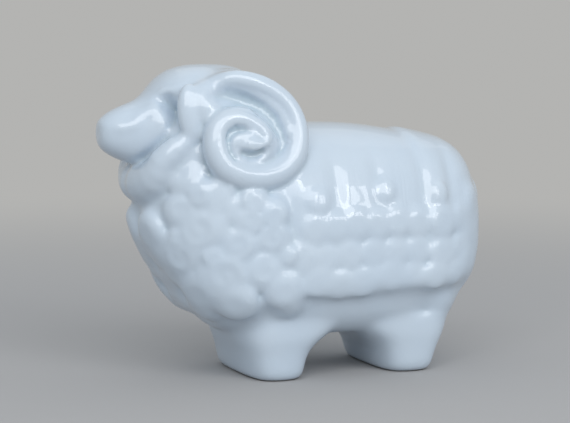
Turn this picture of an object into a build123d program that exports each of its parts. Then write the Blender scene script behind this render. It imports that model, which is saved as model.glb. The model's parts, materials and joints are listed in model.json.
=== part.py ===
from build123d import *
import os
from math import cos, sin, pi

# A small hollow porcelain ram, standing, modelled as the pieces a potter joins with slip before firing.
# It faces -X, its left side faces -Y, +Z is up, and the origin lies under the middle of its box.
# All lengths are in millimetres, and every name that ends in share or shares holds plain ratios.

# Trunk: the hollow casting that carries everything else, with the vent that lets air out in the kiln.
trunk_length = 57.6
trunk_width = 28.6
belly_height = 7.0
back_height = 40.2
trunk_wall = 2.6
vent_bore = 0.8

# Fleece: rounded curls that stand out of the trunk and run into each other.
curl_radius = 4.5
curl_rise = 1.8
curl_spacing = 4.9
dimple_radius = 1.6
dimple_depth = 0.35
flank_edge_height = 17.0
chest_edge_height = 11.0

# Leg blocks: one in front and one behind, each with a flat foot.
front_foot_length = 12.6
front_foot_width = 23.4
rear_foot_length = 10.8
rear_foot_width = 22.4

# Head: a rounded block with a tapered muzzle, set on the front of the trunk.
head_length = 26.0
head_width = 19.0
head_height = 16.8
crown_height = 52.0
muzzle_overhang = 7.0

# Horns: a tapered spiral on a low round boss, one on each side.
horn_reach = 10.8
horn_root_radius = 2.0
horn_tip_radius = 1.2
boss_radius = 8.6
boss_face_radius = 4.8
boss_thickness = 3.4

# Ears: a drooping leaf between the face and the horn.
ear_length = 10.8
ear_width = 4.0
ear_thickness = 3.0

# Tail: a short flat lobe on the rump.
tail_length = 9.0
tail_width = 4.6
tail_thickness = 3.2

# Trunk stations from the chest to the rump: the share along the trunk, the bottom and the top between
# belly and back, and the half width of the half trunk.
trunk_shares = [
    (0.000, 0.60, 0.84, 0.24),
    (0.026, 0.49, 0.93, 0.45),
    (0.077, 0.35, 1.01, 0.64),
    (0.154, 0.18, 1.07, 0.82),
    (0.274, 0.03, 1.08, 0.94),
    (0.444, 0.00, 1.03, 1.00),
    (0.615, 0.00, 1.015, 1.00),
    (0.770, 0.01, 0.98, 0.95),
    (0.890, 0.11, 0.935, 0.81),
    (0.957, 0.25, 0.885, 0.61),
    (0.988, 0.37, 0.80, 0.42),
    (1.000, 0.45, 0.70, 0.28),
]
# Head stations from the nose to the back of the head: shares of the head's length, height and half width.
head_shares = [
    (0.000, 0.27, 0.47, 0.16),
    (0.030, 0.19, 0.52, 0.30),
    (0.100, 0.12, 0.59, 0.42),
    (0.200, 0.06, 0.65, 0.52),
    (0.270, 0.03, 0.70, 0.59),
    (0.330, 0.00, 0.78, 0.67),
    (0.430, 0.00, 0.93, 0.82),
    (0.565, 0.00, 1.01, 0.94),
    (0.780, 0.05, 1.02, 1.00),
    (0.930, 0.18, 0.93, 0.90),
    (1.000, 0.38, 0.78, 0.62),
]
# Leg stations from the foot up: the share of the belly's height, then the front and the rear edge from the
# foot's middle in foot lengths, and the half width of the half foot.
front_leg_shares = [
    (0.00, -0.45, 0.22, 0.93),
    (0.12, -0.50, 0.27, 1.00),
    (0.50, -0.55, 0.33, 1.03),
    (0.75, -0.60, 0.43, 1.05),
    (1.00, -0.66, 0.62, 1.08),
    (1.45, -0.72, 1.00, 1.09),
]
rear_leg_shares = [
    (0.00, -0.49, 0.31, 0.92),
    (0.12, -0.54, 0.36, 1.00),
    (0.50, -0.62, 0.45, 1.04),
    (0.75, -0.74, 0.54, 1.06),
    (1.00, -0.95, 0.63, 1.08),
    (1.45, -1.20, 0.74, 1.09),
]
# Horn stations from the crown inwards: quarter turns, then the distance from the boss's centre and the
# height off its middle plane in reaches.
horn_shares = [
    (-0.30, 1.14, -0.62),
    (0.00, 1.00, -0.34),
    (0.50, 0.90, -0.08),
    (1.00, 0.80, 0.00),
    (1.50, 0.68, 0.02),
    (2.00, 0.56, 0.03),
    (2.50, 0.51, 0.05),
    (3.00, 0.49, 0.07),
    (3.50, 0.45, 0.09),
    (4.00, 0.41, 0.11),
    (4.50, 0.36, 0.13),
    (5.00, 0.30, 0.15),
    (5.50, 0.24, 0.16),
    (6.00, 0.17, 0.17),
    (6.60, 0.08, 0.18),
]
# Leaf stations from the top down: the share of the length, and the width and thickness there.
ear_shares = [(0.00, 0.20), (0.12, 0.62), (0.35, 0.96), (0.60, 1.00), (0.85, 0.66), (1.00, 0.22)]
tail_shares = [(0.00, 0.30), (0.15, 0.80), (0.45, 1.00), (0.75, 0.90), (0.93, 0.60), (1.00, 0.25)]

# Places, as shares of the piece that carries them.
front_foot_place_share = 0.396
rear_foot_place_share = 0.802
neck_line_share = 0.30
rump_line_share = 0.90
edge_turn_shares = (0.20, 0.40)
vent_place_share = 0.716
horn_place_share = 0.845
horn_drop_share = 0.68
horn_lean_share = 0.20
bed_back_share = 0.16
bed_up_share = 0.09
bed_radius_share = 0.83
boss_back_share = 0.15
boss_up_share = 0.18
least_volume_share = 0.05
ear_place_share = 0.525
ear_drop_share = 0.44
tail_drop_share = 0.30
ear_sink_share = 0.93

# Squareness of the rounded outlines, where 2 is an ellipse.
leaf_power_share = 2.0
back_power_share = 2.4
belly_power_share = 4.8
head_power_share = 2.3
foot_power_share = 3.4
outline_points = 16


def mix(low, high, share):
    return low + (high - low) * share


def reach_at(angle, power):
    # The reach of a unit outline of this squareness in one direction.
    return (abs(cos(angle)) ** power + abs(sin(angle)) ** power) ** (-1 / power)


def outline(half_width, half_height, lower_power, upper_power):
    # Places round a closed smooth outline, with its own squareness below and above its middle.
    places = []
    for k in range(outline_points):
        angle = 2 * pi * (k + 0.5) / outline_points
        reach = reach_at(angle, lower_power if sin(angle) < 0 else upper_power)
        places.append((half_width * reach * cos(angle), half_height * reach * sin(angle)))
    return places


def smooth_face(points):
    return Face(Wire([Edge.make_spline(points, periodic=True)]))


def upright(x, bottom, top, half_width, lower_power, upper_power):
    # A face across the body at one place along it.
    middle = (bottom + top) / 2
    places = outline(half_width, (top - bottom) / 2, lower_power, upper_power)
    return smooth_face([Vector(x, y, middle + z) for y, z in places])


def level(z, x, y, half_length, half_width, power):
    # A face that lies level about a point.
    places = outline(half_length, half_width, power, power)
    return smooth_face([Vector(x + a, y + b, z) for a, b in places])


def mirrored(shape):
    return mirror(shape, about=Plane.XZ)


def even_sided(form):
    # The form with its left half repeated on the right, so that both sides match exactly.
    room = Pos(0, -trunk_width, 0) * Box(4 * trunk_length, 2 * trunk_width, 4 * crown_height)
    left = form & room
    return left + mirrored(left)


# Trunk
def trunk_place(share, grow=0.0):
    return mix(-trunk_length / 2 - grow, trunk_length / 2 + grow, share)


def trunk_station(share):
    # The trunk's bottom, top and half width at one share of its length.
    for near, far in zip(trunk_shares, trunk_shares[1:]):
        if share <= far[0]:
            part_way = (share - near[0]) / (far[0] - near[0])
            low, high, wide = [mix(p, q, part_way) for p, q in zip(near[1:], far[1:])]
            bottom = mix(belly_height, back_height, low)
            top = mix(belly_height, back_height, high)
            return bottom, top, wide * trunk_width / 2


def trunk_form(grow=0.0):
    # The trunk's outer form, or the form drawn in from it by a negative growth.
    sections = []
    for station in trunk_shares:
        bottom, top, half_width = trunk_station(station[0])
        place = trunk_place(station[0], grow)
        section = upright(place, bottom - grow, top + grow, half_width + grow, belly_power_share, back_power_share)
        sections.append(section)
    return loft(sections)


def skin_point(share, angle):
    # A point on the trunk, at an angle round it that starts at its right side and rises over its back.
    bottom, top, half_width = trunk_station(share)
    reach = reach_at(angle, belly_power_share if sin(angle) < 0 else back_power_share)
    height = (top - bottom) / 2 * reach * sin(angle)
    return Vector(trunk_place(share), half_width * reach * cos(angle), (bottom + top) / 2 + height)


def skin_normal(share, angle):
    # The outward direction there, from two short steps over the skin.
    step_share = 0.01
    ahead = skin_point(min(share + step_share, 1), angle) - skin_point(max(share - step_share, 0), angle)
    around = skin_point(share, angle + step_share) - skin_point(share, angle - step_share)
    return around.cross(ahead).normalized()


def vent():
    place = trunk_place(vent_place_share)
    return Pos(place, 0, back_height) * Cylinder(vent_bore / 2, 2 * (trunk_wall + curl_radius))


# Legs
def leg_block(leg_shares, place_share, foot_length, foot_width):
    sections = []
    for up, front, rear, wide in leg_shares:
        middle = trunk_place(place_share) + foot_length * (front + rear) / 2
        half_length = foot_length * (rear - front) / 2
        sections.append(level(belly_height * up, middle, 0, half_length, foot_width / 2 * wide, foot_power_share))
    return loft(sections)


# Head
head_front = trunk_place(0) - muzzle_overhang
head_bottom = crown_height - head_height


def head_form():
    sections = []
    for share, low, high, wide in head_shares:
        place = head_front + head_length * share
        bottom = mix(head_bottom, crown_height, low)
        top = mix(head_bottom, crown_height, high)
        sections.append(upright(place, bottom, top, head_width / 2 * wide, head_power_share, head_power_share))
    return loft(sections)


# Horns
def horn_frame():
    # A plane on the head's left side that faces out and leans in at its top.
    place = head_front + head_length * horn_place_share
    middle = mix(crown_height, head_bottom, horn_drop_share)
    out = Vector(0, -1, horn_lean_share)
    return Plane(origin=(place, -(head_width + boss_thickness) / 2, middle), x_dir=(1, 0, 0), z_dir=out)


def horn_form():
    points = []
    for quarters, reach, height in horn_shares:
        angle = pi / 2 * (1 - quarters)
        points.append(Vector(reach * cos(angle), reach * sin(angle), height) * horn_reach)
    path = Edge.make_spline(points)
    root = Plane(origin=path @ 0, z_dir=path % 0) * Circle(horn_root_radius)
    tip = Plane(origin=path @ 1, z_dir=path % 1) * Circle(horn_tip_radius)
    coil = sweep([root.face(), tip.face()], path=path, multisection=True)
    middle = Pos(horn_reach * boss_back_share, horn_reach * boss_up_share, -boss_thickness / 4)
    boss = middle * Cone(boss_radius, boss_face_radius, boss_thickness)
    return horn_frame() * (coil + boss)


# Ears and tail
def leaf(leaf_shares, x, y, top, length, half_depth, half_width):
    sections = []
    for down, size in leaf_shares:
        sections.append(level(top - length * down, x, y, half_depth * size, half_width * size, leaf_power_share))
    return loft(sections)


def ear_form():
    place = head_front + head_length * ear_place_share
    top = mix(crown_height, head_bottom, ear_drop_share) + ear_length / 2
    return leaf(ear_shares, place, -head_width / 2 * ear_sink_share, top, ear_length, ear_width / 2, ear_thickness / 2)


def tail_form():
    top = mix(back_height, belly_height, tail_drop_share)
    middle = trunk_place(1) + curl_rise / 2
    return leaf(tail_shares, middle, 0, top, tail_length, tail_thickness / 2, tail_width / 2)


# Fleece
def edge_height(x):
    # The height of the fleece's lower edge, low on the chest and higher along the flank.
    first, second = [trunk_place(share) for share in edge_turn_shares]
    part_way = min(max((x - first) / (second - first), 0), 1)
    return mix(chest_edge_height, flank_edge_height, part_way)


def on_skin(point, normal):
    # The place where the line through a point along a direction leaves the trunk.
    start = point - normal * (trunk_width / 4)
    crossings = trunk.find_intersection_points(Axis(start, normal))
    if not crossings:
        return point
    return max((crossing[0] for crossing in crossings), key=lambda place: (place - start).dot(normal))


def curl_places():
    # Rows of curls round the trunk, staggered from one row to the next, on its left side and its crest.
    places = []
    rows = round(trunk_length / curl_spacing)
    arc_steps = 120
    arc_sweep_share = 1.0
    for row in range(rows):
        share = (row + 0.5) / rows
        travel = curl_spacing / 2 if row % 2 else curl_spacing
        last = skin_point(share, pi / 2)
        for step in range(arc_steps):
            angle = pi / 2 + pi * arc_sweep_share * step / arc_steps
            point = skin_point(share, angle)
            travel = travel + (point - last).length
            last = point
            if travel >= curl_spacing:
                travel = 0
                normal = skin_normal(share, angle)
                places.append((share, on_skin(point, normal), normal))
    for share, out in ((0, -1), (1, 1)):
        bottom, top, half_width = trunk_station(share)
        places.append((share, Vector(trunk_place(share), 0, (bottom + top) / 2), Vector(out, 0, 0)))
    return places


def near(first, second):
    # Whether two shapes' boxes reach each other.
    one = first.bounding_box()
    two = second.bounding_box()
    apart = [one.min.X > two.max.X, one.min.Y > two.max.Y, one.min.Z > two.max.Z]
    apart += [two.min.X > one.max.X, two.min.Y > one.max.Y, two.min.Z > one.max.Z]
    return not any(apart)


def carved(solids, seat):
    # The solids without what lies in their seat. What is left of one must be worth pressing on.
    rest = []
    for solid in solids:
        if near(solid, seat):
            outside = solid - seat
            rest += outside.solids() if outside else []
        else:
            rest.append(solid)
    return [solid for solid in rest if solid.volume > least_volume_share * curl_rise ** 3]


def horn_seat():
    # A round bed that clears the coil's lower turns.
    bed = Pos(horn_reach * bed_back_share, horn_reach * bed_up_share, 0)
    drum = Cylinder(horn_reach * bed_radius_share, 4 * (boss_thickness + horn_root_radius))
    return horn_frame() * (bed * drum)


def curl(foot, normal, neighbours):
    # One curl: a low dome with a dimple, pressed on at its foot and parted from its neighbours midway.
    spot = Plane(origin=foot, z_dir=normal)
    low = spot * Pos(0, 0, curl_rise - curl_radius)
    beyond = Pos(0, 0, curl_radius) * Box(4 * curl_radius, 4 * curl_radius, 2 * curl_radius)
    cuts = [spot * Pos(0, 0, curl_rise + dimple_radius - dimple_depth) * Sphere(dimple_radius)]
    cuts.append(spot * Pos(0, 0, -2 * curl_radius) * beyond)
    centre = low.position
    for other in neighbours:
        cuts.append(Plane(origin=(centre + other) / 2, z_dir=other - centre) * beyond)
    return low * Sphere(curl_radius) - cuts


def fleece_half(first, last, seats):
    # The left half of one region of the fleece, between two places along the trunk, cut to its seats.
    right = Pos(0, trunk_width, 0) * Box(4 * trunk_length, 2 * trunk_width, 4 * crown_height)
    pieces = []
    for share, foot, normal, centre in spots:
        if first <= share < last or share == last == 1:
            others = [other[3] for other in spots if 0 < (other[3] - centre).length < 2 * curl_radius]
            left_over = curl(foot, normal, others).solids()
            for seat in [right] + seats:
                left_over = carved(left_over, seat)
            pieces += left_over
    return Compound(pieces)


trunk = trunk_form()
head = head_form()
horn = horn_form()
ear = ear_form()
tail = tail_form()
front_leg = leg_block(front_leg_shares, front_foot_place_share, front_foot_length, front_foot_width)
rear_leg = leg_block(rear_leg_shares, rear_foot_place_share, rear_foot_length, rear_foot_width)
# The curls above the fleece's edge, each with the centre of the ball that its dome is cut from.
spots = []
for share, point, normal in curl_places():
    if point.Z > edge_height(point.X):
        spots.append((share, point, normal, point - normal * (curl_radius - curl_rise)))

nodes = {
    "trunk_shell": even_sided(trunk - trunk_form(-trunk_wall) - vent()),
    "front_leg_block": even_sided(front_leg - trunk),
    "rear_leg_block": even_sided(rear_leg - trunk),
    "head": even_sided(head - trunk),
    "tail": even_sided(tail - trunk),
}
left_pieces = {
    "horn": horn - head - trunk,
    "ear": ear - head,
    "chest_fleece": fleece_half(0, neck_line_share, [horn_seat(), head, ear, front_leg]),
    "flank_fleece": fleece_half(neck_line_share, rump_line_share, [horn_seat(), head, vent()]),
    "rump_fleece": fleece_half(rump_line_share, 1, [rear_leg, tail]),
}
for name, shape in left_pieces.items():
    nodes["left_" + name] = shape
    nodes["right_" + name] = mirrored(shape)

# The finished pieces move together, so that the origin lies under the middle of their common box.
box = Compound(children=[Compound(shape.solids()) for shape in nodes.values()]).bounding_box()
centring = Pos(-box.center().X, -box.center().Y, -box.min.Z)
print("length", round(box.size.X, 2), "width", round(box.size.Y, 2), "height", round(box.size.Z, 2))

os.makedirs("parts", exist_ok=True)
for name, shape in nodes.items():
    export_step(centring * shape, os.path.join("parts", name + ".step"))
    print(name, len(shape.solids()), round(shape.volume, 1))
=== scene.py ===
import json
import math

import bmesh
import bpy
import numpy as np
from mathutils import Matrix, Vector
from mathutils.bvhtree import BVHTree

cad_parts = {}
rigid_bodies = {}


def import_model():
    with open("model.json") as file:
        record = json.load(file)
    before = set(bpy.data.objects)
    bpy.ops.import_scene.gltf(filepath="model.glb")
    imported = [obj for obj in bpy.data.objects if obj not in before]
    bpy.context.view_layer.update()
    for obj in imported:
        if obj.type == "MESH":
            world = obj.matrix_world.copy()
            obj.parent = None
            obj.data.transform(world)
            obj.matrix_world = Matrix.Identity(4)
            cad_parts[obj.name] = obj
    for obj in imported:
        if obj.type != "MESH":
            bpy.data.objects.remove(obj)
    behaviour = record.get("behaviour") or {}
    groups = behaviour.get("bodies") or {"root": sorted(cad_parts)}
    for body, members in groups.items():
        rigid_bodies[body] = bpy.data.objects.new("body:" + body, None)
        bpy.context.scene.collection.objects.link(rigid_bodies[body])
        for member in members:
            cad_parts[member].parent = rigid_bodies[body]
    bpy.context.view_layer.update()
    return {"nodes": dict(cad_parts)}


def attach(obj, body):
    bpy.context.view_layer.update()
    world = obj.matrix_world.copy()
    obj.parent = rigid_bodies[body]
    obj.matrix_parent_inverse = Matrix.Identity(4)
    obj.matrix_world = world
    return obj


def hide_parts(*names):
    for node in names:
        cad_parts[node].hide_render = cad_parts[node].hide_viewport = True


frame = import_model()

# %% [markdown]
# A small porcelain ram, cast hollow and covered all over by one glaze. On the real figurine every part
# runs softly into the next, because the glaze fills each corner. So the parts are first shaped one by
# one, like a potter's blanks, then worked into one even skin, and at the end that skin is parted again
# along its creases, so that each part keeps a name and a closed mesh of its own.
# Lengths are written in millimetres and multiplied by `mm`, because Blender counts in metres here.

mm = 0.001

# %% [markdown]
# Blender's operators work on whatever is active and selected, so each tool below makes sure of that
# first. They open a piece for shaping, pick its faces or corners by a test, finish it with a modifier,
# and copy or join pieces. A copy always gets a mesh of its own.

# %% Handling pieces
def only(piece):
    """Leaves this piece active and selected, and nothing else."""
    bpy.ops.object.select_all(action="DESELECT")
    bpy.context.view_layer.objects.active = piece
    piece.select_set(True)


def edit(piece, kind="VERT"):
    """Opens one piece in edit mode, with nothing on it picked."""
    only(piece)
    bpy.ops.object.mode_set(mode="EDIT")
    bpy.ops.mesh.select_mode(type=kind)
    bpy.ops.mesh.select_all(action="DESELECT")


def done():
    """Leaves edit mode."""
    bpy.ops.object.mode_set(mode="OBJECT")


def pick(piece, wanted, kind="FACE"):
    """Picks the faces or corners of the open piece that pass a test."""
    mesh = bmesh.from_edit_mesh(piece.data)
    for item in mesh.faces if kind == "FACE" else mesh.verts:
        item.select = wanted(item)
    bmesh.update_edit_mesh(piece.data)


def finish_with(piece, kind, **settings):
    """Adds one modifier to a piece and applies it."""
    only(piece)
    modifier = piece.modifiers.new(kind.lower(), kind)
    for name, value in settings.items():
        setattr(modifier, name, value)
    bpy.ops.object.modifier_apply(modifier=modifier.name)


def smooth(piece, rounds, **settings):
    """Evens out a piece, as a damp sponge does."""
    finish_with(piece, "SMOOTH", factor=0.5, iterations=rounds, **settings)


def fused(piece, step):
    """Melts forms that overlap into one skin, with a corner every step millimetres."""
    finish_with(piece, "REMESH", mode="VOXEL", voxel_size=step * mm)


def settled(piece):
    """Writes a piece's place, turn and size into its mesh."""
    only(piece)
    bpy.ops.object.transform_apply(location=True, rotation=True, scale=True)
    return piece


def twin_of(piece):
    """A copy of a piece, with a mesh of its own."""
    twin = piece.copy()
    twin.data = piece.data.copy()
    bpy.context.collection.objects.link(twin)
    return twin


def joined(pieces, name):
    """One object made of several."""
    only(pieces[0])
    for piece in pieces:
        piece.select_set(True)
    bpy.ops.object.join()
    pieces[0].name = name
    return pieces[0]


print("solids on the bench:", len(frame["nodes"]))

# %% [markdown]
# The camera comes first, so that every shape can be judged from the photograph's own side. It stands in
# front of the ram's left flank, turned 22 degrees towards the head and 6 degrees up, and its long lens
# keeps the far legs nearly as tall as the near ones.

# %% Camera
view = bpy.data.cameras.new("photo camera")
view.lens = 138.9
view.sensor_width = 36
camera = bpy.data.objects.new("photo camera", view)
bpy.context.collection.objects.link(camera)
camera.location = Vector((-139.84, -344.87, 66.19)) * mm
aim = Vector((-0.5, 0, 27.1)) * mm
camera.rotation_euler = (aim - camera.location).to_track_quat("-Z", "Y").to_euler()
bpy.context.scene.camera = camera
print("camera to middle in mm:", round((camera.location - aim).length / mm))

# %% [markdown]
# The trunk, the leg blocks and the head begin as copies of the frame's own solids. The solids already
# follow the outline in the photograph, so a copy starts in the right place. Each copy's loose triangles
# are merged first, and the haunches are rounded out with a ball.

# %% Blanks
def cast(node):
    """A merged copy of one solid of the frame, to work on as a blank."""
    blank = twin_of(frame["nodes"][node])
    for key in [key for key in blank.keys() if key.startswith("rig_")]:
        del blank[key]
    blank.parent = None
    blank.name = node + " blank"
    edit(blank)
    bpy.ops.mesh.select_all(action="SELECT")
    bpy.ops.mesh.remove_doubles(threshold=0.001 * mm)
    done()
    return blank


def ball(middle, radii, turn=(0, 0, 0)):
    """A flattened or drawn out ball, in its place, turned by degrees."""
    bpy.ops.object.select_all(action="DESELECT")
    bpy.ops.mesh.primitive_uv_sphere_add(
        segments=24, ring_count=14, radius=1 * mm,
        location=Vector(middle) * mm, rotation=[math.radians(a) for a in turn], scale=radii,
    )
    return settled(bpy.context.active_object)


trunk = cast("trunk_shell")
legs = [cast("front_leg_block"), cast("rear_leg_block")]
head = cast("head")
haunch = ball((22.5, 0, 13.2), (7.6, 12.6, 7.0))
legs[1] = joined([legs[1], haunch], "rear legs blank")
print("corners of the leg blanks:", [len(leg.data.vertices) for leg in legs])

# %% [markdown]
# The trunk is a shell with a vent, and only its outside is wanted here. The wall of the vent's bore is
# deleted, the outside is picked as all that hangs together with the highest corner, and the small hole
# is filled. Corners are also read as one table of numbers, which is far quicker than one by one.

# %% The trunk's outside
def read_all(rows, what, width=1, kind=np.float32):
    """One measure of every corner, edge, face or loop, as a table."""
    table = np.empty(len(rows) * width, kind)
    rows.foreach_get(what, table)
    return table.reshape(-1, width) if width > 1 else table


def corners(piece, what="co"):
    """The places or normals of a piece's corners as rows of x, y, z, places in millimetres."""
    rows = read_all(piece.data.vertices, what, 3).astype(float)
    return rows / mm if what == "co" else rows


vent_x = 14.69
bore_reach = 0.45
back_top = float(corners(trunk)[:, 2].max())


def on_bore(face):
    """Whether a face belongs to the wall of the vent's bore."""
    middle = face.calc_center_median() / mm
    near = math.hypot(middle.x - vent_x, middle.y) < bore_reach and middle.z > 30
    return near and abs(face.normal.z) < 0.5


edit(trunk, "FACE")
pick(trunk, on_bore)
bpy.ops.mesh.delete(type="FACE")
bpy.ops.mesh.select_mode(type="VERT")
pick(trunk, lambda corner: corner.co.z / mm > back_top - 0.01, "VERT")
bpy.ops.mesh.select_linked()
bpy.ops.mesh.select_all(action="INVERT")
bpy.ops.mesh.delete(type="VERT")
bpy.ops.mesh.select_all(action="SELECT")
bpy.ops.mesh.fill_holes(sides=0)
done()
fused(trunk, 0.4)
print("corners of the trunk's outside:", len(trunk.data.vertices))

# %% [markdown]
# The lines of the face are drawn with a rounded modelling tool, while the head is still a plain blank.
# `press` is that tool: it follows a line on both sides and moves each corner in along its normal, or out,
# by how near the line it lies. Operators pick whole faces, but such a line has to fade over half a
# millimetre, so the corners are moved as numbers.

# %% A rounded tool
def put_corners(piece, places):
    """Moves a piece's corners to rows of x, y, z in millimetres."""
    piece.data.vertices.foreach_set("co", (places * mm).astype(np.float32).ravel())
    piece.data.update()


def ramp(low, high, values):
    """0 before low, 1 beyond high, and a smooth rise between."""
    share = np.clip((values - low) / (high - low), 0, 1)
    return share * share * (3 - 2 * share)


def beside(places, line, steep=2):
    """How near each place lies to a line of points x, z, width and depth, times the depth there."""
    flat = places[:, [0, 2]]
    push = np.zeros(len(places))
    for (x1, z1, w1, d1), (x2, z2, w2, d2) in zip(line, line[1:]):
        start = np.array((x1, z1))
        run = np.array((x2, z2)) - start
        share = np.clip(((flat - start) @ run) / (run @ run), 0, 1)
        away = np.hypot(*(flat - start - share[:, None] * run).T)
        width = w1 + (w2 - w1) * share
        push = np.maximum(push, (d1 + (d2 - d1) * share) * np.exp(-((away / width) ** steep)))
    return push


def press(piece, line, out=-1, steep=2):
    """Draws a rounded tool along a line on both sides of a piece."""
    places = corners(piece)
    push = beside(places, line, steep)
    normal = corners(piece, "normal")
    sideways = ramp(0.3, 0.65, abs(normal[:, 1]))
    put_corners(piece, places + out * (push * sideways)[:, None] * normal)


print("share of the depth at half the width:", round(math.exp(-(0.5 ** 2)), 2))

# %% [markdown]
# The ram's face has no cut or painted eye. A deep soft hollow lies where the eye would be, under a low
# brow, and a trough runs from it down the cheek. The crown is rounded up first and bridged to the horns.

# %% Face
crown = ball((-13.2, 0, 46.1), (8.6, 9.6, 6.3))
bridges = [ball((-12.6, side * 6.0, 47.9), (5.8, 3.6, 4.0)) for side in (-1, 1)]
head = joined([head, crown] + bridges, "head blank")
fused(head, 0.3)
smooth(head, 10)
# Each point of a line: x, z, half width and depth.
eye_hollow = [
    (-24.9, 47.2, 1.0, 0.5), (-23.9, 46.9, 1.2, 2.4), (-23.3, 45.8, 1.2, 3.4), (-23.0, 44.5, 1.1, 3.0),
    (-23.1, 43.0, 0.8, 1.8),
]
cheek_trough = [
    (-23.4, 42.6, 0.7, 0.4), (-24.1, 40.8, 0.8, 0.7), (-25.6, 38.6, 0.8, 0.8),
    (-27.0, 37.1, 0.8, 0.8), (-28.4, 35.8, 0.8, 0.6),
]
brow = [
    (-25.3, 48.3, 0.7, 0.1), (-24.0, 48.3, 0.7, 0.35), (-22.9, 48.3, 0.6, 0.35), (-21.8, 48.7, 0.6, 0.2),
    (-20.6, 49.5, 0.6, 0.1),
]
cheekbone = [
    (-32.25, 42.5, 0.9, 0.1), (-30.55, 42.4, 0.9, 0.3), (-28.75, 42.8, 0.9, 0.3),
    (-27.65, 44.3, 0.8, 0.3), (-26.35, 45.1, 0.8, 0.35), (-25.15, 45.7, 0.8, 0.35),
]
press(head, eye_hollow)
press(head, cheek_trough)
press(head, brow, out=1)
press(head, cheekbone, out=1)
print("corners of the head:", len(head.data.vertices))

# %% [markdown]
# The fleece stands out from the belly and the legs in a low step, which runs level along the flank and
# drops under the chest. The trunk's corners above that edge are picked and fattened, and smoothing
# turns the step into the soft ledge of the real one.

# %% Fleece coat
def edge_height(x):
    """The height of the fleece's lower edge at a place along the ram."""
    return 11.0 + 3.8 * ramp(-16.5, -2.5, x)


# Each row: where along the ram the coat starts to thicken, and by how much more.
fleece_growth = [(-20, 0.55), (-15, 0.38), (-5, 0.50), (19.4, 0.60)]
for start, growth in fleece_growth:
    places = corners(trunk)
    fat = (places[:, 2] > edge_height(places[:, 0])) & (places[:, 0] > start)
    edit(trunk)
    done()
    trunk.data.vertices.foreach_set("select", fat)
    bpy.ops.object.mode_set(mode="EDIT")
    bpy.ops.transform.shrink_fatten(value=growth * mm)
    done()
    smooth(trunk, 12)
    print("fattened corners:", int(fat.sum()))
breast = ball((-12.2, 0, 11.2), (4.2, 10.4, 3.4))
legs[0] = joined([legs[0], breast], "front legs blank")

# %% [markdown]
# The horn is a thick coil with about one and a half turns, and a small knob in its middle. It starts on
# the crown, runs over the back of the head and down, and turns in on itself at the cheek. Its course is
# written down as stations, which a low inner shoulder follows, so that the band falls gently inwards.

# %% The horn's course
# Each station: x, y and z of the coil's middle line at its outer face, and half its width.
horn_stations = [
    (-18.0, -7.9, 48.7, 1.00), (-16.3, -9.4, 50.0, 1.35), (-14.2, -10.5, 50.8, 1.60),
    (-12.0, -11.0, 50.6, 1.70), (-8.2, -11.6, 49.6, 1.75), (-4.9, -12.2, 47.2, 1.80),
    (-3.4, -12.8, 44.6, 1.85), (-2.9, -13.6, 41.8, 2.00), (-3.5, -14.3, 38.7, 2.30),
    (-5.5, -14.9, 36.2, 2.60), (-8.8, -15.2, 35.0, 2.80), (-12.6, -15.2, 35.0, 2.80),
    (-15.9, -14.9, 36.3, 2.60), (-17.5, -14.3, 38.9, 2.30), (-17.6, -13.7, 41.6, 2.20),
    (-16.5, -13.4, 43.7, 2.15), (-14.3, -13.4, 44.6, 2.15), (-12.0, -13.7, 44.3, 2.10),
    (-10.1, -14.1, 42.9, 1.95), (-9.0, -14.5, 41.0, 1.70), (-9.7, -14.8, 39.9, 1.50),
    (-11.6, -15.0, 40.1, 1.60), (-13.2, -15.0, 40.2, 1.30),
]
shoulder_stations = [
    (-17.0, -9.4, 49.1, 1.0), (-14.8, -10.0, 49.5, 1.6), (-12.0, -10.5, 49.0, 1.8), (-9.0, -11.1, 47.8, 1.8),
    (-6.6, -11.8, 46.0, 1.8), (-5.2, -12.3, 44.1, 1.8), (-4.7, -12.9, 42.1, 1.8), (-4.9, -13.5, 40.2, 1.5),
]
horn_lean = -15
horn_foot = Vector((0, -13.0, 42.0))
print("stations of the horn:", len(horn_stations))

# %% [markdown]
# The coil could be a curve with a bevel, but its depth and width differ. So it is drawn out of one ring
# of corners: the ring is extruded, turned and resized from station to station while the horn stands
# upright, then leant back, and a Subdivision Surface makes it round.

# %% Drawing out a bar
def course(stations, depth_share):
    """The middles of a bar's stations, stood upright, and the heading at each."""
    upright = Matrix.Rotation(math.radians(horn_lean), 3, "X").inverted()
    middles = [
        horn_foot + upright @ (Vector((x, y, z)) - horn_foot) + Vector((0, depth_share * half, 0))
        for x, y, z, half in stations
    ]
    headings = []
    for k in range(len(middles)):
        run = middles[min(k + 1, len(middles) - 1)] - middles[max(k - 1, 0)]
        headings.append(math.atan2(run.x, run.z))
    return middles, headings


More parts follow.
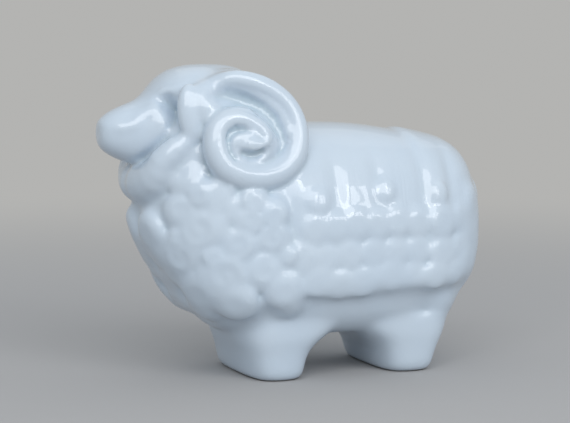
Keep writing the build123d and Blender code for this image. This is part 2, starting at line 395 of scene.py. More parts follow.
def drawn_out(stations, depth_share):
    """A closed bar drawn through stations while the horn stands upright, then leant back with it."""
    middles, headings = course(stations, depth_share)
    swell = 1.1        # makes up for what the Subdivision Surface takes off a ring of eight
    bpy.ops.object.select_all(action="DESELECT")
    bpy.ops.mesh.primitive_circle_add(
        vertices=8, radius=stations[0][3] * swell * mm, fill_type="NGON",
        location=middles[0] * mm, rotation=(0, headings[0], 0),
    )
    bar = settled(bpy.context.active_object)
    edit(bar, "FACE")
    bpy.ops.mesh.select_all(action="SELECT")
    bpy.ops.transform.resize(value=(1, depth_share, 1), center_override=middles[0] * mm)
    for k in range(1, len(stations)):
        step = (middles[k] - middles[k - 1]) * mm
        bpy.ops.mesh.extrude_region_move(TRANSFORM_OT_translate={"value": step})
        turn = (headings[k] - headings[k - 1] + math.pi) % (2 * math.pi) - math.pi
        bpy.ops.transform.rotate(value=-turn, orient_axis="Y", center_override=middles[k] * mm)
        grow = stations[k][3] / stations[k - 1][3]
        bpy.ops.transform.resize(value=(grow, grow, grow), center_override=middles[k] * mm)
    bpy.ops.mesh.select_all(action="SELECT")
    bpy.ops.mesh.normals_make_consistent(inside=False)
    done()
    about = Matrix.Translation(horn_foot * mm)
    bar.matrix_world = about @ Matrix.Rotation(math.radians(horn_lean), 4, "X") @ about.inverted()
    settled(bar)
    finish_with(bar, "SUBSURF", levels=2, render_levels=2)
    return bar


coil = drawn_out(horn_stations, 1.0)
shoulder = drawn_out(shoulder_stations, 1.2)
print("corners of the coil and its shoulder:", len(coil.data.vertices), len(shoulder.data.vertices))

# %% [markdown]
# The coil lies on a round cushion with a domed middle, which closes the horn towards the head, and a
# thick root ties it to the temple. The finished horn is later mirrored to the other side. A mirrored
# mesh is inside out, so its normals are worked out again.

# %% Horns
def cushion(middle, radius, depth, rim, lean):
    """A round cushion with a rounded rim. It lies on the ram's left side and leans in at its top."""
    bpy.ops.object.select_all(action="DESELECT")
    bpy.ops.mesh.primitive_cylinder_add(
        vertices=48, radius=radius * mm, depth=depth * mm, location=Vector(middle) * mm,
        rotation=(math.radians(90 + lean), 0, 0),
    )
    piece = settled(bpy.context.active_object)
    edit(piece, "FACE")
    pick(piece, lambda face: len(face.verts) > 4)
    bpy.ops.mesh.region_to_loop()
    bpy.ops.mesh.bevel(offset=rim * mm, segments=6)
    done()
    return piece


def mirrored(piece):
    """The same piece on the ram's other side."""
    twin = twin_of(piece)
    twin.scale.y = -1
    settled(twin)
    edit(twin)
    bpy.ops.mesh.select_all(action="SELECT")
    bpy.ops.mesh.normals_make_consistent(inside=False)
    done()
    return twin


bed = cushion((-10.6, -7.2, 42.4), 7.8, 8.0, 1.6, horn_lean)
dome = ball((-11.6, -11.4, 40.6), (5.6, 2.9, 5.6), (horn_lean, 0, 0))
root = ball((-17.7, -8.3, 45.9), (3.0, 2.7, 4.3), (-16, 0, 0))
horn = joined([coil, shoulder, bed, dome, root], "left horn blank")
print("corners of the horn:", len(horn.data.vertices))

# %% [markdown]
# The ear hangs as a broad leaf between the face and the horn. It and the tail are balls, drawn out long.

# %% Ears and tail
ear = ball((-20.4, -8.7, 44.6), (2.4, 1.7, 5.2), (-7, -4, 0))
ear.name = "left ear blank"
tail = ball((31.6, 0, 26.0), (1.9, 2.4, 4.6), (0, 6, 0))
tail.name = "tail blank"
print("corners of the ear and the tail:", len(ear.data.vertices), len(tail.data.vertices))

# %% [markdown]
# The fleece is a crowd of curls, each a low bun with a thread of clay wound on it like a snail. One curl
# is modelled once at a size of one millimetre. The bun's top is let down a little, and the thread is a
# small ring, extruded along a spiral.

# %% One curl
bun_height = 0.42
thread_reach = 0.62
thread_height = 0.33


def curl_bun():
    """A flattened ball of radius 1 with a shallow dimple on top."""
    bun = ball((0, 0, 0), (1, 1, bun_height))
    edit(bun)
    pick(bun, lambda corner: corner.co.z > 0.99 * bun_height * mm, "VERT")
    bpy.ops.transform.translate(
        value=(0, 0, -0.08 * mm), use_proportional_edit=True,
        proportional_edit_falloff="SMOOTH", proportional_size=0.5 * mm,
    )
    done()
    return bun


def curl_thread(turns=1.3, steps=15):
    """A thread that winds inwards on the bun and rises a little."""
    last = Vector((thread_reach, 0, thread_height))
    bpy.ops.object.select_all(action="DESELECT")
    bpy.ops.mesh.primitive_circle_add(
        vertices=6, radius=0.075 * mm, fill_type="NGON", location=last * mm, rotation=(math.pi / 2, 0, 0)
    )
    thread = settled(bpy.context.active_object)
    edit(thread, "FACE")
    bpy.ops.mesh.select_all(action="SELECT")
    for k in range(1, steps + 1):
        share = k / steps
        angle = 2 * math.pi * turns * share
        reach = thread_reach * (1 - share) ** 0.8 + 0.06
        height = thread_height + 0.03 * share
        here = Vector((reach * math.cos(angle), reach * math.sin(angle), height))
        bpy.ops.mesh.extrude_region_move(TRANSFORM_OT_translate={"value": (here - last) * mm})
        bpy.ops.transform.rotate(
            value=-2 * math.pi * turns / steps, orient_axis="Z", center_override=here * mm
        )
        last = here
    bpy.ops.mesh.select_all(action="SELECT")
    bpy.ops.mesh.normals_make_consistent(inside=False)
    done()
    return thread


curl = joined([curl_bun(), curl_thread()], "curl")
print("corners of one curl:", len(curl.data.vertices))

# %% [markdown]
# The curls were placed against the photograph. They crowd on the chest, lie in loose rows along
# the flank, and grow larger round the rump. Only the left side shows, so the right one mirrors it. The
# chin rests on a collar, a soft roll that hangs round the throat, built up from balls that overlap.

# %% Where the curls sit
# Each row: x, y, z and radius, on the left side.
chest_curls = [
    (-21.9, -9.2, 35.0, 2.8), (-19.4, -10.9, 31.6, 2.1), (-23.0, -10.0, 29.0, 2.6), (-16.2, -12.0, 29.1, 2.5),
    (-19.7, -11.6, 26.3, 3.4), (-26.4, -4.2, 25.0, 2.8), (-22.9, -10.0, 21.5, 3.3), (-14.1, -13.2, 23.6, 2.8),
    (-8.7, -14.0, 24.4, 2.6), (-8.4, -12.9, 28.3, 2.2), (-16.2, -12.9, 18.6, 3.7), (-9.9, -13.2, 19.3, 2.8),
    (-19.8, -9.8, 15.3, 3.1), (-13.8, -12.0, 14.3, 2.9), (-6.7, -14.1, 16.1, 2.8),
    (-12.2, -12.8, 27.4, 2.2), (-25.3, -3.4, 20.4, 2.9), (-23.4, -6.4, 17.7, 2.5), (-5.4, -13.8, 13.4, 2.0),
    (-11.5, -12.1, 30.3, 2.1), (-16.0, -11.1, 32.3, 1.9), (-6.0, -14.1, 21.4, 1.7), (-17.9, -12.3, 21.7, 1.9),
    (-23.4, -9.6, 24.3, 1.7), (-26.3, 0.0, 21.9, 2.2), (-23.2, -1.4, 15.8, 2.7),
    (-17.6, -6.6, 12.6, 2.5), (-19.4, -1.4, 12.4, 2.5),
]
collar_balls = [
    (-21.6, -8.3, 39.8, 1.9), (-22.8, -8.0, 38.9, 2.2), (-23.8, -7.6, 37.9, 2.4), (-24.6, -7.0, 36.8, 2.6),
    (-25.0, -6.2, 35.3, 2.9), (-25.3, -5.0, 34.1, 3.3), (-25.6, -3.4, 33.3, 3.5), (-25.8, -1.6, 33.0, 3.6),
    (-18.8, -7.0, 37.5, 3.7),
]
flank_curls = [
    (-3.8, -14.2, 21.0, 2.3), (0.5, -14.3, 20.9, 2.0), (4.6, -14.3, 21.2, 2.1), (8.9, -14.3, 21.2, 2.1),
    (13.0, -14.2, 21.3, 2.0), (17.1, -14.0, 21.3, 2.0), (21.9, -13.5, 20.7, 2.2), (25.8, -12.7, 21.4, 1.9),
    (-1.3, -14.2, 25.6, 2.1), (2.1, -14.2, 25.8, 2.0), (5.9, -14.2, 26.2, 2.1), (9.7, -14.2, 26.0, 2.0),
    (13.4, -14.1, 26.3, 2.0), (17.3, -14.0, 26.0, 2.0), (21.9, -13.4, 25.9, 2.2), (26.1, -12.4, 26.2, 1.9),
    (-0.7, -14.2, 17.0, 2.3), (2.9, -14.2, 16.3, 2.1), (6.9, -14.2, 16.4, 2.2), (12.2, -14.1, 17.4, 2.3),
    (16.4, -14.0, 17.2, 1.9), (20.4, -13.6, 16.8, 2.1), (24.9, -12.9, 17.1, 1.9), (9.4, -14.2, 17.3, 1.7),
    (11.4, -13.6, 31.4, 1.5), (-0.6, -13.8, 30.0, 1.7), (21.6, -12.8, 30.6, 1.5),
]
rump_curls = [
    (28.6, -10.6, 23.6, 2.4), (27.9, -11.0, 19.0, 2.4), (29.4, -9.6, 28.6, 2.4), (31.0, -6.6, 25.4, 2.5),
    (30.3, -7.0, 20.8, 2.5), (28.6, -7.4, 16.6, 2.4), (31.4, -3.4, 21.6, 2.4), (30.4, -3.2, 17.2, 2.4),
    (31.4, -3.8, 29.2, 2.4),
]
print("curls on one side:", len(chest_curls), len(flank_curls), len(rump_curls))

# %% [markdown]
# Each curl is a copy of the first one, resized, turned its own way and set on the nearest place of the
# trunk. Only a part of it stands out, because the trunk's coat hides its foot. The chest's curls stand
# highest, and the glaze has nearly filled the flank's.

# %% Setting the curls on
def set_on(skin, rows, name, wide, rise):
    """Copies of the curl, wider and higher by some, each on the nearest place of a skin."""
    near = BVHTree.FromObject(skin, bpy.context.evaluated_depsgraph_get())
    copies = []
    for k, (x, y, z, radius) in enumerate(rows):
        place, out, _, _ = near.find_nearest(Vector((x, y, z)) * mm)
        copy = twin_of(curl)
        spin = Matrix.Rotation(2.4 * k, 4, "Z")
        size = Matrix.Diagonal((radius * wide, radius * wide, rise / bun_height, 1))
        upright = out.to_track_quat("Z", "Y").to_matrix().to_4x4()
        copy.matrix_world = Matrix.Translation(place) @ upright @ spin @ size
        copies.append(copy)
    return settled(joined(copies, name))


chest = set_on(trunk, chest_curls, "chest curls", 1.34, 1.48)
collar = joined([ball((x, y, z), (r, r, r)) for x, y, z, r in collar_balls], "collar")
crowds = {
    "chest_fleece": joined([chest, collar], "chest curls"),
    "flank_fleece": set_on(trunk, flank_curls, "flank curls", 1.36, 0.60),
    "rump_fleece": set_on(trunk, rump_curls, "rump curls", 1.35, 0.68),
}
bpy.data.objects.remove(curl)
print("corners of the crowds:", {name: len(crowd.data.vertices) for name, crowd in crowds.items()})

# %% [markdown]
# All blanks now go together into one skin. A voxel remesh does what slip and glaze do on the real
# thing: it fuses whatever touches. Before that, each blank's surface is remembered, because it later
# tells which part of the skin belongs to which piece.

# %% One skin
blanks = {
    "trunk_shell": trunk, "front_leg_block": legs[0], "rear_leg_block": legs[1], "head": head, "tail": tail,
    "left_horn": horn, "right_horn": mirrored(horn), "left_ear": ear, "right_ear": mirrored(ear),
}
for name, crowd in crowds.items():
    blanks["left_" + name] = crowd
    blanks["right_" + name] = mirrored(crowd)
spots = []
faces = []
owners = []
for number, blank in enumerate(blanks.values()):
    first = len(spots)
    spots += [tuple(corner.co) for corner in blank.data.vertices]
    faces += [tuple(first + k for k in face.vertices) for face in blank.data.polygons]
    owners += [number] * len(blank.data.polygons)
remembered = BVHTree.FromPolygons(spots, faces)
skin = joined(list(blanks.values()), "skin")
fused(skin, 0.26)
print("corners of the skin:", len(skin.data.vertices))

# %% [markdown]
# The sponge comes next. It rounds the belly and the legs hard, where the real clay is plain, and the
# fleece less. The fleece's lower edge, the chest's middle and the rump run smooth under the glaze, so
# they get extra rounds. The face is hardly touched. `ramp` draws soft borders round each place.

# %% Softening the fleece
def soften(piece, steps):
    """Smooths a piece place by place. Each corner has its own weight, from 0 to 1."""
    for place, (weights, rounds) in steps.items():
        group = piece.vertex_groups.new(name="soft")
        for k in np.nonzero(weights > 0.01)[0]:
            group.add([int(k)], float(weights[k]), "REPLACE")
        smooth(piece, rounds, vertex_group="soft")
        piece.vertex_groups.clear()
        print("softened the", place + ":", int((weights > 0.5).sum()), "corners,", rounds, "rounds")


x, y, z = corners(skin).T
under_fleece = 1 - ramp(-1.2, 0.2, z - edge_height(x))
soften(skin, {"legs and belly": (under_fleece * (0.75 + 0.25 * ramp(0.8, 3.5, z)), 100)})
smooth(skin, 4)
x, y, z = corners(skin).T
above_edge = z - edge_height(x)
off_horn = ramp(9.2, 10.8, np.hypot(x + 10.8, z - 41.6))
off_face = 1 - ramp(18.5, 20.5, -x) * ramp(38.5, 40.5, z)
soften(skin, {
    "fleece": (ramp(-0.5, 1.0, above_edge) * off_horn * off_face, 36),
    "fleece's edge": (np.exp(-((above_edge / 2.0) ** 2)) * (0.7 + 0.3 * ramp(6, 12, -x)), 140),
    "flank's edge": (np.exp(-(((above_edge + 0.8) / 2.4) ** 2)) * ramp(3, 0, -x), 170),
    "lower chest": (ramp(18, 15, z) * ramp(10, 14, -x) * ramp(6, 9, z), 50),
    "chest's middle": (ramp(9.5, 6, abs(y)) * ramp(14, 18, -x) * ramp(36, 33, z), 60),
    "rump": (ramp(25.5, 27.5, x) * ramp(34, 32, z) * ramp(9, 11, z), 90),
    "face": (1 - off_face, 6),
})

# %% [markdown]
# The collar is rubbed until its balls are one roll. The ear, the crown and the start of the horn are
# rubbed together, and the horn itself only lightly, because its coil stays crisp in the photograph.

# %% Softening the collar, ear and horn
x, y, z = corners(skin).T
on_collar = np.exp(-(((x + 23.0) / 4.2) ** 4) - ((z - 37.5) / 3.6) ** 4) * ramp(3, 5, abs(y))
soften(skin, {"collar": (on_collar, 30)})
x, y, z = corners(skin).T
on_ear = np.exp(-(((x + 20.6) / 3.4) ** 4) - ((z - 44.6) / 7.0) ** 6) * ramp(5, 7, abs(y))
behind_crown = ramp(45.5, 47.5, z) * ramp(10.2, 8.8, abs(y)) * ramp(17.5, 15.5, -x) * ramp(-1, 1, -x)
soften(skin, {
    "ear": (on_ear, 18),
    "ear's top": (on_ear * ramp(46.5, 48.5, z), 16),
    "crown": (ramp(49.3, 50.8, z) * ramp(12.5, 14.5, -x), 40),
    "place behind the crown": (behind_crown, 70),
    "horn": (1 - ramp(8.5, 9.5, np.hypot(x + 10.8, z - 42.2)), 8),
})

# %% [markdown]
# Now the horn's lines are drawn with the same tool as the face: the groove between its two turns, the
# small crescents round the knob, and a short line on the coil. The groove's floor is smoothed first.

# %% Horn lines
horn_groove = [
    (-17.4, 47.7, 1.0, 0.3), (-14.6, 47.5, 1.3, 0.6), (-11.9, 46.7, 1.3, 0.65), (-9.3, 45.3, 1.2, 0.6),
    (-7.7, 43.8, 1.1, 0.55), (-6.7, 42.1, 0.9, 0.5), (-6.1, 40.8, 0.7, 0.3),
]
lower_crescent = [
    (-14.2, 39.1, 0.6, 0.2), (-13.4, 38.3, 0.7, 0.9), (-12.3, 37.85, 0.75, 1.1), (-11.2, 37.9, 0.75, 1.1),
    (-10.2, 38.4, 0.6, 0.9), (-9.5, 39.1, 0.6, 0.15),
]
upper_crescent = [
    (-15.6, 40.95, 0.45, 0.5), (-15.2, 41.7, 0.55, 0.9), (-14.2, 42.3, 0.6, 1.2), (-13.1, 42.35, 0.55, 0.8),
    (-12.3, 42.1, 0.4, 0.3),
]
coil_line = [
    (-15.6, 40.95, 0.4, 0.4), (-15.7, 39.8, 0.4, 0.35), (-15.5, 38.6, 0.4, 0.35), (-14.8, 37.6, 0.4, 0.3),
]
groove_floor = beside(corners(skin), [(x, z, 1.9, 1.0) for x, z, _, _ in horn_groove], 4)
soften(skin, {"groove's floor": (groove_floor * ramp(5, 7, abs(corners(skin)[:, 1])), 30)})
before = corners(skin)
press(skin, [(x, z, width, 1.6 * depth) for x, z, width, depth in horn_groove])
press(skin, lower_crescent, steep=3)
press(skin, upper_crescent, steep=3)
press(skin, coil_line)
print("deepest horn line in mm:", round(float(np.linalg.norm(corners(skin) - before, axis=1).max()), 2))

# %% [markdown]
# High on the flank the curls give way to broad upright folds, which fade over the back. Their valleys
# lie in planes across the body.

# %% Folds
fold_places = (2.75, 10.4, 19.35, 24.9)
fold_width = 1.4
fold_depth = 0.42
places = corners(skin)
x, y, z = places.T
push = np.zeros(len(places))
for where in fold_places:
    push = np.maximum(push, np.exp(-(((x - where) / fold_width) ** 2)))
push *= fold_depth * ramp(27, 32, z) * (1 - ramp(34, 40, z))
put_corners(skin, places - push[:, None] * corners(skin, "normal"))
smooth(skin, 3)
print("deepest fold in mm:", round(float(push.max()), 2))

# %% [markdown]
# Air and steam leave a hollow casting through a pinhole while it is fired. It is one of the few sharp
# things on the ram, so the faces round it are subdivided before they are pressed down.

# %% Vent
vent_radius = 0.4
vent_depth = 1.2
upper_back = 35


def round_the_vent(face):
    """Whether a face lies near the vent, on top of the back."""
    middle = face.calc_center_median() / mm
    return math.hypot(middle.x - vent_x, middle.y) < 0.9 and middle.z > upper_back


edit(skin, "FACE")
pick(skin, round_the_vent)
bpy.ops.mesh.subdivide(number_cuts=3)
done()
places = corners(skin)
reach = np.hypot(places[:, 0] - vent_x, places[:, 1])
places[:, 2] -= vent_depth * np.exp(-((reach / vent_radius) ** 6)) * (places[:, 2] > upper_back)
put_corners(skin, places)
print("corners in the vent:", int(((reach < vent_radius) & (places[:, 2] > upper_back)).sum()))

# %% [markdown]
# Two facts about each corner are kept for later: which way the uncut skin faces there, so that no seam
# shows in the gloss, and how hollow it is, because glaze runs into hollows and looks bluer where it is
# thick. The hollow is how far the corner lies under a heavily smoothed copy of the skin.

# %% What the skin remembers
smooth_copy = twin_of(skin)
smooth(smooth_copy, 30)
outward = corners(skin, "normal")
hollow = ((corners(smooth_copy) - corners(skin)) * outward).sum(axis=1)
bpy.data.objects.remove(smooth_copy)
notes = skin.data.attributes
notes.new("hollow", "FLOAT", "POINT").data.foreach_set("value", hollow.astype(np.float32))
notes.new("outward", "FLOAT_VECTOR", "POINT").data.foreach_set("vector", outward.astype(np.float32).ravel())
print("hollow in mm from", round(float(hollow.min()), 2), "to", round(float(hollow.max()), 2))

# %% [markdown]
# Now the skin is shared out. Each corner asks which blank lies nearest, a few rounds of voting among
# neighbours make the borders smooth, and each face then takes the choice of its corners.

# %% Whose skin it is
nodes = list(blanks)
choice = np.array([owners[remembered.find_nearest(corner.co)[2]] for corner in skin.data.vertices])
votes = np.eye(len(nodes))[choice]
edges = read_all(skin.data.edges, "vertices", 2, np.int32)
for turn in range(12):
    heard = votes.copy()
    np.add.at(heard, edges[:, 0], votes[edges[:, 1]])
    np.add.at(heard, edges[:, 1], votes[edges[:, 0]])
    votes = heard / heard.sum(axis=1, keepdims=True)
loops = read_all(skin.data.loops, "vertex_index", kind=np.int32)
starts = read_all(skin.data.polygons, "loop_start", kind=np.int32)
part_numbers = np.add.reduceat(votes[loops], starts, axis=0).argmax(axis=1).astype(np.int32)
print("corners that changed their mind:", int((votes.argmax(axis=1) != choice).sum()))

# %% [markdown]
# The choice is stored as a material number, because `separate` can part a mesh by that. Each scrap is
# then known by the name of the stand-in material that it carries.

# %% Parting
names = {
    "trunk_shell": "body_casting", "front_leg_block": "front_legs", "rear_leg_block": "rear_legs",
    "head": "head_and_muzzle", "tail": "short_tail", "left_horn": "horn_left", "right_horn": "horn_right",
    "left_ear": "ear_left", "right_ear": "ear_right", "left_chest_fleece": "chest_curls_left",
    "right_chest_fleece": "chest_curls_right", "left_flank_fleece": "flank_curls_left",
    "right_flank_fleece": "flank_curls_right", "left_rump_fleece": "rump_curls_left",
    "right_rump_fleece": "rump_curls_right",
}
skin.data.materials.clear()
for node in nodes:
    skin.data.materials.append(bpy.data.materials.new("part " + node))
skin.data.polygons.foreach_set("material_index", part_numbers)
edit(skin)
bpy.ops.mesh.select_all(action="SELECT")
bpy.ops.mesh.separate(type="MATERIAL")
done()
parts = {}
for piece in bpy.context.selected_objects:
    slots = piece.data.materials
    number = piece.data.polygons[0].material_index
    label = slots[number if number < len(slots) else 0].name
    parts[label.replace("part ", "")] = piece
print("parts:", {names[node]: len(piece.data.polygons) for node, piece in parts.items()})

# %% [markdown]
# Each part is still an open scrap of skin. A Solidify modifier gives it a wall inwards, which also closes
# it. The shading normals then come from the uncut skin on the outside, and from the faces elsewhere.

# %% Walls
wall = 0.8


def close(piece):
    """Gives an open scrap a wall, and keeps the uncut skin's shading on its outside."""
    outside = len(piece.data.polygons)
    finish_with(piece, "SOLIDIFY", thickness=wall * mm, offset=-1, use_rim=True)
    mesh = piece.data
    uncut = read_all(mesh.attributes["outward"].data, "vector", 3)
    plain = read_all(mesh.polygons, "normal", 3)
    corner_of = read_all(mesh.loops, "vertex_index", kind=np.int32)
    sizes = read_all(mesh.polygons, "loop_total", kind=np.int32)
    face_of = np.repeat(np.arange(len(sizes)), sizes)
    facing = np.where((face_of < outside)[:, None], uncut[corner_of], plain[face_of])
    mesh.attributes.remove(mesh.attributes["outward"])
    mesh.polygons.foreach_set("use_smooth", np.ones(len(sizes), bool))
    mesh.normals_split_custom_set(facing.tolist())


for piece in parts.values():
    close(piece)
print("closed faces:", sum(len(piece.data.polygons) for piece in parts.values()))

# %% [markdown]
# Materials are written as sums. `Shade` wraps a socket of a shader node, so that `1 - mask` or
# `ripple * 0.2` adds the Math nodes by itself.

# %% Reckoning with shades
class Shade:
    """A number or colour that changes over a surface, to reckon with."""

    def __init__(self, recipe, socket):
        self.recipe = recipe
        self.socket = socket

    def _with(self, operation, other, swapped=False):
        pair = (other, self) if swapped else (self, other)
        return self.recipe.node("Math", {"operation": operation}, {0: pair[0], 1: pair[1]})

    def __add__(self, other):
        return self._with("ADD", other)

    def __radd__(self, other):
        return self._with("ADD", other, True)

    def __sub__(self, other):
        return self._with("SUBTRACT", other)

    def __rsub__(self, other):
        return self._with("SUBTRACT", other, True)

    def __mul__(self, other):
        return self._with("MULTIPLY", other)

    def __rmul__(self, other):
        return self._with("MULTIPLY", other, True)

    def __pow__(self, other):
        return self._with("POWER", other)

    def most(self, other):
        return self._with("MAXIMUM", other)


print("a shade knows plus, minus, times, power and most")

# %% [markdown]
# `Recipe` holds the node tree of one material. Its `node` adds a node of any kind: first its settings,
# then its sockets, which take plain values or other shades. `step` and `blend` are the two that a glaze
# needs most.

# %% Writing recipes
class Recipe:
    """The node tree of one material or world."""

    def __init__(self, owner):
        owner.use_nodes = True
        self.tree = owner.node_tree
        self.tree.nodes.clear()

    def node(self, kind, settings=None, sockets=None, out=0):
        """A node of a kind, its settings first and then its sockets. Gives one of its outputs."""
        made = self.tree.nodes.new("ShaderNode" + kind)
        for name, value in (settings or {}).items():
            setattr(made, name, value)
        for name, value in (sockets or {}).items():
            if isinstance(value, Shade):
                self.tree.links.new(value.socket, made.inputs[name])
            else:
                made.inputs[name].default_value = value
        return Shade(self, made.outputs[out]) if made.outputs else made

    def step(self, value, low, high):
        """0 where the value is below low, 1 above high, and smooth between."""
        bounds = {"Value": value, "From Min": low, "From Max": high}
        return self.node("MapRange", {"interpolation_type": "SMOOTHSTEP"}, bounds)

    def blend(self, factor, first, second):
        """One colour or the other, by a factor."""
        return self.node("Mix", {"data_type": "RGBA"}, {0: factor, 6: first, 7: second}, out=2)

    def noise(self, place, scale, detail):
        """A soft cloud that changes about scale times in a metre."""
        return self.node("TexNoise", None, {"Vector": place, "Scale": scale, "Detail": detail})

    def finish(self, shader, kind="Material"):
        """Sends a shader to the output."""
        self.node("Output" + kind, None, {"Surface": shader})


print("materials so far:", len(bpy.data.materials))

# %% [markdown]
# The glaze is a clear glass over white clay. It runs off the crests, where it looks thin and whiter, and
# into the hollows, where it is thick and blue. It clouds a little from place to place, and a few iron
# specks of the clay show through it.

# %% Colour of the glaze
pool_depth = 0.16        # how hollow the skin is, in mm, where the glaze is at its bluest
crest_height = 0.14


def glaze_colour(mix, place, cloud):
    """The glaze's colour, from clouds, crests and hollows to specks."""
    hollow = mix.node("Attribute", {"attribute_name": "hollow"}, out=2)
    pooled = mix.step(hollow, 0.0, pool_depth)
    thin = mix.step(0 - hollow, 0.0, crest_height)
    colour = mix.blend(mix.step(cloud, 0.35, 0.65), (0.530, 0.626, 0.730, 1), (0.548, 0.640, 0.737, 1))
    colour = mix.blend(thin * 0.5, colour, (0.600, 0.690, 0.775, 1))
    colour = mix.blend(pooled * 0.65, colour, (0.415, 0.530, 0.610, 1))
    cell = {"Vector": place, "Scale": 120}
    away = mix.node("TexVoronoi", None, cell, out=0)
    lot = mix.node("SeparateColor", None, {"Color": mix.node("TexVoronoi", None, cell, out=1)}, out=0)
    speck = (1 - mix.step(away, 0.008, 0.018)) * mix.step(lot, 0.72, 0.74)
    return mix.blend(speck * 0.5, colour, (0.20, 0.17, 0.14, 1))


print("share of the skin where glaze pools fully:", round(float((hollow > pool_depth).mean()), 3))

# %% [markdown]
# The surface is not quite even. The glaze lies in faint waves all over, and on the upper flank it shows
# the upright strokes of the sponge that wiped the clay: noise along x alone, swayed a little. The gloss is
# full on the back, the horns and the face, and lower on the belly and the chest.

# %% Waves, strokes and gloss
strokes_per_metre = 1500
ripple = 0.05 * mm


def glaze_height(mix, place, x, z):
    """How far the glaze rises, in metres."""
    wave = mix.noise(place, 260, 1)
    sway = mix.noise(place, 140, 1)
    along = mix.node("CombineXYZ", None, {"X": x + sway * (1.2 * mm)})
    stroke = mix.noise(along, strokes_per_metre, 1)
    flank = mix.step(z, 27.5 * mm, 29.5 * mm) * (1 - mix.step(z, 35 * mm, 39 * mm))
    flank = flank * mix.step(x, -3 * mm, 0 * mm)
    return wave * ripple + stroke * flank * ripple


def full_gloss(mix, x, z):
    """1 high on the ram, and 0 on the belly, the legs and the chest."""
    chest = mix.step(0 - x, 0 * mm, 4 * mm) * (1 - mix.step(z, 31.5 * mm, 33.5 * mm))
    return mix.step(z, 24 * mm, 29 * mm) * (1 - chest)


print("strokes per cm on the flank:", strokes_per_metre / 100)

# %% [markdown]
# The whole material is a soft clay body under a clear coat. The feet stand on a ring that was wiped free of
# glaze, where the dry clay is rough and coloured dark grey: partly its own colour and partly painted shadow
# where the feet meet the floor. The vent's hole is painted near black, as painted shade inside it.

# %% Glazed porcelain
def porcelain():
    """Glazed porcelain, with its unglazed foot ring, darkened in part as painted contact shadow, and painted
    shade in the vent.
    """
    material = bpy.data.materials.new("glazed porcelain")
    mix = Recipe(material)
    place = mix.node("TexCoord", out=3)
    x, y, z = [mix.node("SeparateXYZ", None, {"Vector": place}, out=axis) for axis in range(3)]
    cloud = mix.noise(place, 90, 3)
    grain = mix.noise(place, 2600, 4)
    # painted shadow in part: the foot ring's dark grey is both the bare clay and the shadow where the feet
    # meet the floor
    dry_foot_and_contact_shade = 1 - mix.step(z, 0.10 * mm, 0.32 * mm)
    to_vent = ((x - vent_x * mm) ** 2 + y ** 2) ** 0.5
    # painted shade: the vent's hole is coloured near black, standing in for the shade inside it
    vent_painted_shade = (1 - mix.step(to_vent, 0.34 * mm, 0.46 * mm)) * mix.step(z, 35 * mm, 36 * mm)
    foot_clay_and_contact_shade = mix.blend(grain, (0.30, 0.285, 0.26, 1), (0.46, 0.445, 0.42, 1))
    colour = mix.blend(dry_foot_and_contact_shade, glaze_colour(mix, place, cloud), foot_clay_and_contact_shade)
    colour = mix.blend(vent_painted_shade * 0.9, colour, (0.03, 0.03, 0.03, 1))
    height = glaze_height(mix, place, x, z) + grain * dry_foot_and_contact_shade * ripple
    gloss = (1 - dry_foot_and_contact_shade.most(vent_painted_shade)) * (0.45 + 0.55 * full_gloss(mix, x, z))
    shader = mix.node(
        "BsdfPrincipled", None,
        {
            "Base Color": colour, "Roughness": 0.30 + cloud * 0.08 + dry_foot_and_contact_shade * 0.4, "Coat Weight": gloss,
            "Coat Roughness": 0.045, "Coat IOR": 1.5, "Specular IOR Level": 0.35,
            "Normal": mix.node("Bump", None, {"Height": height, "Distance": 1.0, "Strength": 1.0}),
        },
    )
    mix.finish(shader)
    return material


glaze = porcelain()
for node, piece in parts.items():
    piece.data.materials.clear()
    piece.data.materials.append(glaze)
    piece.name = names[node]
    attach(piece, "root")
    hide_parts(node)
print("glazed pieces:", sorted(names.values()))

# %% [markdown]
# The ram stands on plain pale paper that has no end. Near it the paper is a real floor and keeps the
# shadow, and further away it fades into one even tone. Only the camera and mirror-like rays see that
# tone, so it adds no light.

# %% Paper
paper_tone = (0.455, 0.455, 0.445, 1)
near_tone = (0.42, 0.42, 0.425, 1)


def seen(mix):
    """1 for rays that come from the eye or a reflection, and 0 for rays of light."""
    eye, mirror, glass = [mix.node("LightPath", out=k) for k in (0, 3, 6)]
    return eye.most(mirror).most(glass)


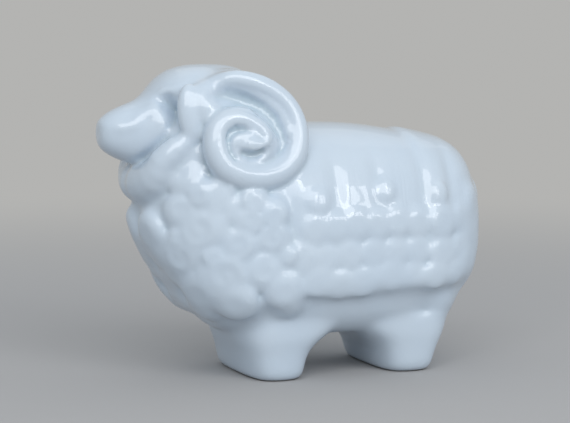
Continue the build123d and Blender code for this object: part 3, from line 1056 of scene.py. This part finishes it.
bpy.ops.object.select_all(action="DESELECT")
bpy.ops.mesh.primitive_plane_add(size=4.0, location=(0, 0, 0))
floor = bpy.context.active_object
floor.name = "floor"
paper = bpy.data.materials.new("endless paper")
mix = Recipe(paper)
away = mix.node("VectorMath", {"operation": "LENGTH"}, {0: mix.node("TexCoord", out=3)}, out=1)
near_paper = mix.node("BsdfDiffuse", None, {"Color": near_tone})
far_paper = mix.node("Emission", None, {"Color": paper_tone})
far = mix.step(away, 0.08, 0.32) * seen(mix)
mix.finish(mix.node("MixShader", None, {0: far, 1: near_paper, 2: far_paper}))
floor.data.materials.append(paper)
print("paper in metres:", [round(side, 1) for side in floor.dimensions])

# %% [markdown]
# The world repeats the paper's tone for whatever looks at it, and lights the ram with the even, slightly
# blue light of a bright room.

# %% Room
room_light = 0.625
world = bpy.data.worlds.new("studio")
bpy.context.scene.world = world
mix = Recipe(world)
lit = mix.node("Background", None, {"Color": (0.93, 0.97, 1.0, 1), "Strength": room_light})
shown = mix.node("Background", None, {"Color": paper_tone, "Strength": 1.0})
mix.finish(mix.node("MixShader", None, {0: seen(mix), 1: lit, 2: shown}), "World")
print("room light:", room_light)

# %% [markdown]
# Daylight falls from a large window high in front of the left flank, and three tall panes beside it
# draw the upright streaks on the flank. A weaker window behind keeps the far side from going dull.

# %% Windows
def window(name, place, size, power):
    """A soft box: a lamp with an area, turned to the ram afterwards. Places and sizes are in metres."""
    lamp = bpy.data.lights.new(name, "AREA")
    lamp.shape = "RECTANGLE"
    lamp.size, lamp.size_y = size
    lamp.energy = power
    stand = bpy.data.objects.new(name, lamp)
    bpy.context.collection.objects.link(stand)
    stand.location = place
    return stand


def turned_to(stand, aim_at):
    """Turns a lamp's face to a point."""
    stand.rotation_euler = (Vector(aim_at) - stand.location).to_track_quat("-Z", "Y").to_euler()


turned_to(window("front window", (-0.16, -0.56, 0.46), (0.80, 0.44), 2.9), (0, 0, 0.03))
turned_to(window("back window", (0.30, 0.45, 0.75), (0.8, 0.6), 0.35), (0, 0, 0.03))
for pane, (across, up) in enumerate([(0.14, 0.30), (0.28, 0.28), (0.42, 0.30)]):
    stand = window("tall pane " + str(pane + 1), (across, -0.62, up), (0.095, 0.22), 0.24)
    turned_to(stand, (0.005, 0, 0.03))
print("windows:", len(bpy.data.lights))

# %% [markdown]
# Last, colours are set to come out as they are written.

# %% Close
bpy.context.scene.view_settings.view_transform = "Standard"
